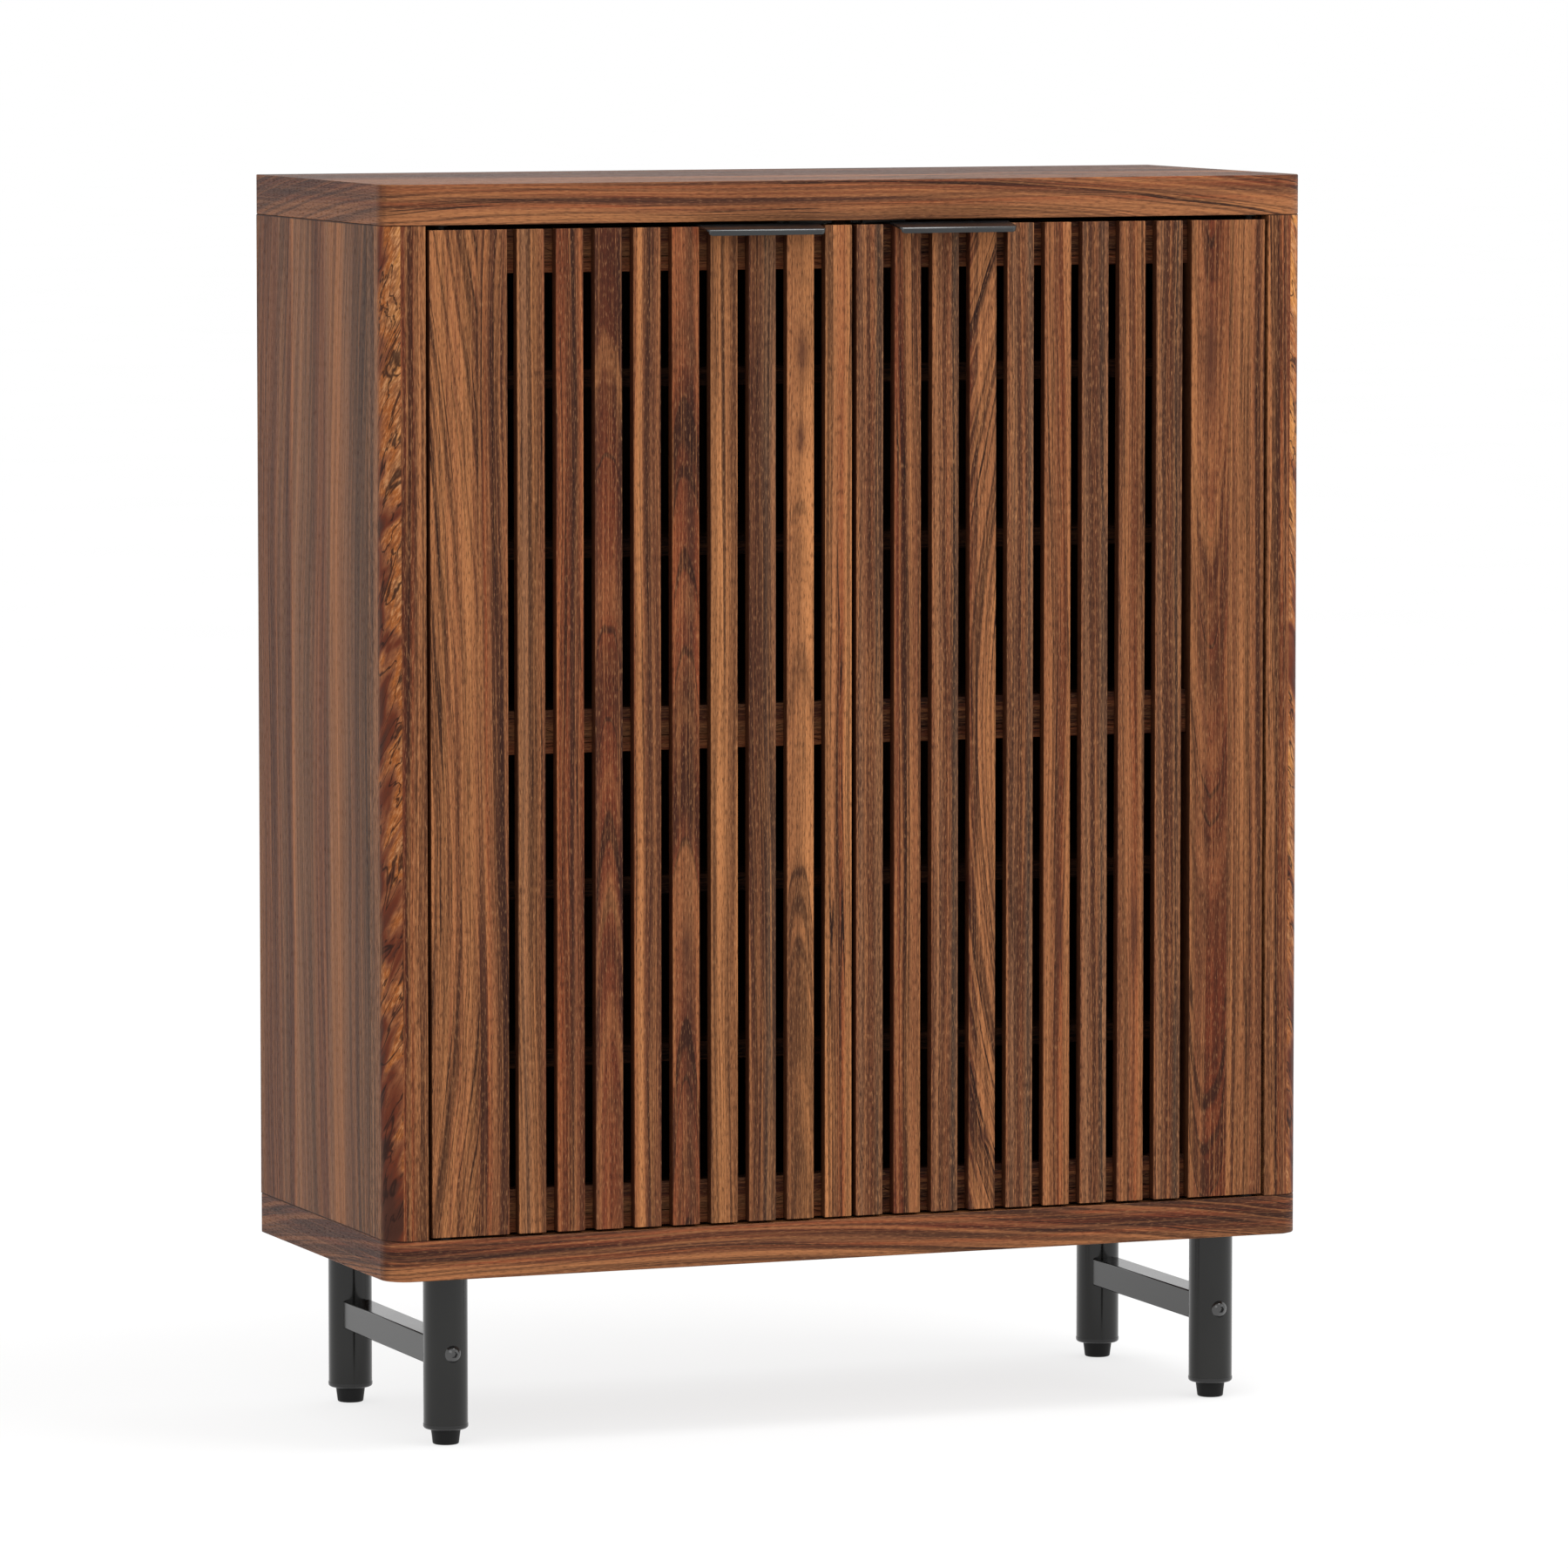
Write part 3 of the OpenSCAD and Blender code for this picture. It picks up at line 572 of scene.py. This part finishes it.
SLAT_LOOKS = {
    ("left", "stile"): Look(bow=(0.2, 0.52), glued=0.62, waver=12.0, drift=0.35, contrast=1.2,
                            eyes=((42, 400, 1.5, 22), (43, 253, 1.5, 9))),
    ("left", "slat_3"): replace(ARCHED, contrast=0.9),
    ("left", "slat_5"): replace(ARCHED, eyes=((12, 398, 4, 20),)),
    ("left", "slat_6"): Look(contrast=0.85),
    ("left", "slat_8"): replace(ARCHED, contrast=0.85, eyes=((13, 877, 6, 22), (12, 808, 4, 12))),
    ("left", "slat_9"): Look(contrast=1.3),
    ("right", "stile"): Look(pith=(0.28, 0.06), tilt=(0.002, -0.045), glued=0.51, drift=0.15,
                             eyes=((17, 868, 5, 48),)),
    ("right", "slat_2"): Look(eyes=((15, 398, 3, 36),)),
    ("right", "slat_4"): Look(eyes=((15, 398, 3, 36),)),
    ("right", "slat_6"): Look(pith=(-6.0, 0.01), bow=(-0.45, 0.56), drift=0.2, contrast=1.3,
                              eyes=((14, 233, 4, 6),)),
    ("right", "slat_8"): Look(drift=0.3, contrast=1.2),
}
GREY_SLAT = [(0.0, "brown"), (0.2, "ash"), (0.45, "umber"), (0.6, "brown"), (0.8, "slate"),
             (1.0, "ash")]
GREY_LOOK = Look(contrast=0.7, fine=1.2, shiver=1.1)
RIGHT_BANDS = {
    "stile": [(0.0, "tan"), (0.05, "sand"), (0.09, "brown"), (0.17, "brown"), (0.21, "umber"),
              (0.24, "mahogany"), (0.30, "red"), (0.34, "mahogany"), (0.47, "mahogany"),
              (0.50, "red"), (0.515, "tan"), (0.55, "sand"), (0.59, "brown"), (0.65, "sand"),
              (0.72, "tan"), (0.78, "sand"), (0.84, "brown"), (0.91, "umber"), (1.0, "umber")],
    "slat_2": [(0.0, "brown"), (0.25, "tan"), (0.45, "brown"), (0.7, "rust"), (0.85, "tan"),
               (1.0, "sand")],
    "slat_4": [(0.0, "brown"), (0.25, "tan"), (0.45, "brown"), (0.7, "rust"), (0.85, "tan"),
               (1.0, "sand")],
    "slat_6": [(0.0, "mahogany"), (0.20, "umber"), (0.28, "dark"), (0.36, "tan"), (0.7, "tan"),
               (1.0, "sand")],
    "slat_8": [(0.0, "red"), (0.3, "mahogany"), (0.40, "shadow"), (0.46, "dark"), (0.56, "sand"),
               (0.8, "brown"), (1.0, "tan")],
}
SIDE_BANDS = [(0.0, "peat"), (0.08, "peat"), (0.13, "grey"), (0.19, "ash"), (0.24, "sand"),
              (0.31, "sand"), (0.35, "ash"), (0.38, "umber"), (0.45, "umber"), (0.51, "grey"),
              (0.60, "ash"), (0.66, "ash"), (0.675, "tan"), (0.69, "umber"), (0.72, "dark"),
              (0.77, "grey"), (0.83, "umber"), (0.88, "dark"), (0.94, "umber"), (1.0, "grey")]
POST_BANDS = [(0.0, "tan"), (0.10, "tan"), (0.13, "dark"), (0.18, "rust"), (0.22, "dark"),
              (0.26, "red"), (0.34, "rust"), (0.48, "brown"), (0.56, "grey"), (0.64, "ash"),
              (0.8, "grey"), (1.0, "slate")]
EDGE_BANDS = [(0.0, "tan"), (0.16, "sand"), (0.24, "tan"), (0.32, "brown"), (0.40, "rust"),
              (0.46, "umber"), (0.54, "dark"), (0.60, "umber"), (0.68, "mahogany"), (0.78, "red"),
              (0.86, "umber"), (0.92, "rust"), (1.0, "umber")]
# Up each rail; the dark tone at its top is painted shade
RAIL_BANDS = [(0.0, "rust"), (0.25, "rust"), (0.45, "umber"), (0.7, "red"), (1.0, "dark")]
INNER_BANDS = [(0.0, "brown"), (0.3, "umber"), (0.5, "brown"), (0.7, "rust"), (1.0, "umber")]


def paint(node, material):
    """Gives a node this material alone."""
    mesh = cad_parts[node].data
    mesh.materials.clear()
    mesh.materials.append(material)


def soften(node, width, segments=2):
    """Rounds the edges of a board. The exported faces are welded first, so that the edges are whole."""
    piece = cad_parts[node]
    weld = piece.modifiers.new("weld", "WELD")
    weld.merge_threshold = 0.01 * MM
    bevel = piece.modifiers.new("bevel", "BEVEL")
    bevel.width = width
    bevel.segments = segments
    bevel.limit_method = "ANGLE"
    bevel.angle_limit = math.radians(50)
    bevel.use_clamp_overlap = False
    bevel.harden_normals = True


def finish_slats(door, seed):
    """The upright and the slats of a door, each with a seed of its own."""
    own_bands = LEFT_BANDS if door == "left" else RIGHT_BANDS
    for part in ["stile", *SLATS]:
        bands = own_bands.get(part, GREY_SLAT)
        look = SLAT_LOOKS.get((door, part), Look() if part in own_bands else GREY_LOOK)
        node = f"{door}_door_{part}"
        # The side faces of the upright and slats get painted shade
        paint(node, walnut(node, upright_grain, bands, seed, replace(look, painted_side_shade=0.85)))
        seed += 1.0
    return seed


def finish_wood():
    seed = 1.0
    for door in SIDES:
        seed = finish_slats(door, seed)
        node = f"{door}_door_rails"
        # The rails behind the slats get painted shade
        paint(node, walnut(node, rail_grain, RAIL_BANDS, seed, Look(shade=0.5)))
        seed += 1.0
    # The boards get painted shade on their ends turned left or right and on their faces turned up or down
    board = Look(waver=12, bow=(0.15, -0.1), drift=0.8, contrast=1.15, fine=0.7, gloss=0.1,
                 painted_side_shade=0.45, painted_face_shade=0.64)
    for node in BOARDS:
        paint(node, walnut(node, board_grain, EDGE_BANDS, seed, board))
        seed += 1.0
    # The side panels and posts get lines of painted shade in their joints with the boards
    panel = Look(waver=14, bow=(0.1, 0.5), drift=0.4, contrast=0.6, fine=0.5, painted_seam_shade=1.4)
    post = Look(drift=0.3, bark=True, painted_seam_shade=1.0)
    for side in SIDES:
        node = f"side_panel_{side}"
        paint(node, walnut(node, side_grain, SIDE_BANDS, seed, panel))
        node = f"front_post_{side}"
        paint(node, walnut(node, post_grain, POST_BANDS, seed + 1, post))
        seed += 2.0
    # The shelves, the partition and the back panel inside get painted shade; the back panel gets less on
    # its face to the back
    for node in SHELVES:
        paint(node, walnut(node, shelf_grain, INNER_BANDS, seed, Look(shade=0.2)))
        seed += 1.0
    node = "centre_partition"
    paint(node, walnut(node, side_grain, INNER_BANDS, seed, Look(shade=0.15)))
    node = "back_panel"
    paint(node, walnut(node, upright_grain, INNER_BANDS, seed + 1, Look(shade=0.12, back_shade=0.5)))


def finish_hardware():
    leg = coated_metal("leg_coat", (10, 10, 8), 0.15, bump=0.02, gloss=0.42)
    cap = coated_metal("cap_coat", (12, 12, 12), 0.25)
    handle = coated_metal("handle_coat", (9, 12, 14), 0.24, bump=0.02, gloss=0.65)
    bolt = coated_metal("black_bolt", (22, 22, 22), 0.14, bump=0.02, gloss=1.0)
    pin = coated_metal("black_pin", (8, 8, 8), 0.6, gloss=0.1)
    foot = moulded_plastic("foot_rubber", (9, 9, 9), 0.5, gloss=0.2)
    catch = moulded_plastic("grey_plastic", (44, 42, 40), 0.45)
    bush = moulded_plastic("black_nylon", (9, 8, 8), 0.6, gloss=0.1)
    zinc = plated_steel("zinc_plate", (190, 190, 186), 0.3)
    magnet = plated_steel("magnet_ferrite", (60, 60, 62), 0.5)
    beech = pale_wood("beech", (205, 170, 128))
    for side in SIDES:
        paint(f"leg_front_{side}", leg)
        paint(f"leg_rear_{side}", leg)
        paint(f"stretcher_{side}", leg)
        paint(f"{side}_door_handle", handle)
        paint(f"{side}_door_hinge_pivots", pin)
        paint(f"{side}_door_strike_plate", zinc)
        paint(f"{side}_door_screws", zinc)
    paint("leg_end_caps", cap)
    paint("foot_glides", foot)
    paint("stretcher_bolts", bolt)
    paint("pivot_bushes", bush)
    paint("door_catches", catch)
    paint("catch_magnets", magnet)
    paint("dowels", beech)
    for node in ("shelf_pins", "cam_locks", "leg_screws", "panel_screws"):
        paint(node, zinc)


def soften_edges():
    for node in BOARDS:
        soften(node, 1.0 * MM, 3)
    for side in SIDES:
        soften(f"side_panel_{side}", 0.5 * MM)
        soften(f"front_post_{side}", 0.5 * MM)
        for part in ["stile", *SLATS]:
            soften(f"{side}_door_{part}", 0.7 * MM)
        soften(f"{side}_door_rails", 0.5 * MM)
        soften(f"stretcher_{side}", 0.4 * MM)
        soften(f"{side}_door_handle", 0.35 * MM)
    soften("centre_partition", 0.5 * MM)
    for node in SHELVES:
        soften(node, 0.6 * MM)


# ---- studio ----

FLOOR_REACH = 60.0
CAMERA_PLACE = (-2.883, -7.285, 1.235)
CAMERA_DOWN = 5.263    # degrees below the horizon
CAMERA_RIGHT = 21.581  # degrees to the right of straight ahead
CAMERA_LENS = 219      # mm, on a 36 mm sensor


def add_floor():
    mesh = bpy.data.meshes.new("studio_floor")
    corners = [(x * FLOOR_REACH, y * FLOOR_REACH, 0) for x, y in ((-1, -1), (1, -1), (1, 1), (-1, 1))]
    mesh.from_pydata(corners, [], [(0, 1, 2, 3)])
    floor = bpy.data.objects.new("studio_floor", mesh)
    bpy.context.scene.collection.objects.link(floor)
    tree = Tree("pale_floor")
    patch = tree.noise(tree.scaled(tree.place(), (3, 3, 3)), 3.0)
    tree.shade("Base Color", tree.mix(patch, neutral(0.25), neutral(0.27)))
    tree.shade("Roughness", 0.8)
    tree.shade("Specular IOR Level", 0.0)
    tree.shade("Emission Color", neutral(1))
    tree.shade("Emission Strength", 0.74)
    mesh.materials.append(tree.material)


def add_light(name, place, target, size, power):
    """A rectangular softbox that faces the target. size is in metres and power in watts."""
    data = bpy.data.lights.new(name, "AREA")
    data.shape = "RECTANGLE"
    data.size, data.size_y = size
    data.energy = power
    light = bpy.data.objects.new(name, data)
    bpy.context.scene.collection.objects.link(light)
    light.location = place
    direction = target - light.location
    light.rotation_euler = direction.to_track_quat("-Z", "Y").to_euler()


def add_lights():
    middle = (cad_low + cad_high) / 2
    add_light("key_softbox", (-2.6, -3.2, 2.6), middle, (2.2, 2.2), 18)
    add_light("fill_softbox", (3.0, -2.6, 1.6), middle, (2.0, 2.4), 9)
    add_light("top_softbox", (0.9, -0.85, 3.2), middle, (1.4, 1.1), 42)
    world = bpy.data.worlds.new("studio")
    world.use_nodes = True
    background = world.node_tree.nodes["Background"]
    background.inputs["Color"].default_value = neutral(1)
    background.inputs["Strength"].default_value = 1.0
    bpy.context.scene.world = world


def add_camera():
    data = bpy.data.cameras.new("camera")
    data.sensor_width = 36
    data.lens = CAMERA_LENS
    data.clip_end = 200
    camera = bpy.data.objects.new("camera", data)
    camera.location = CAMERA_PLACE
    camera.rotation_euler = (math.radians(90 - CAMERA_DOWN), 0, math.radians(-CAMERA_RIGHT))
    bpy.context.scene.collection.objects.link(camera)
    bpy.context.scene.camera = camera


finish_wood()
finish_hardware()
soften_edges()
add_floor()
add_lights()
add_camera()
bpy.context.scene.view_settings.view_transform = "Standard"
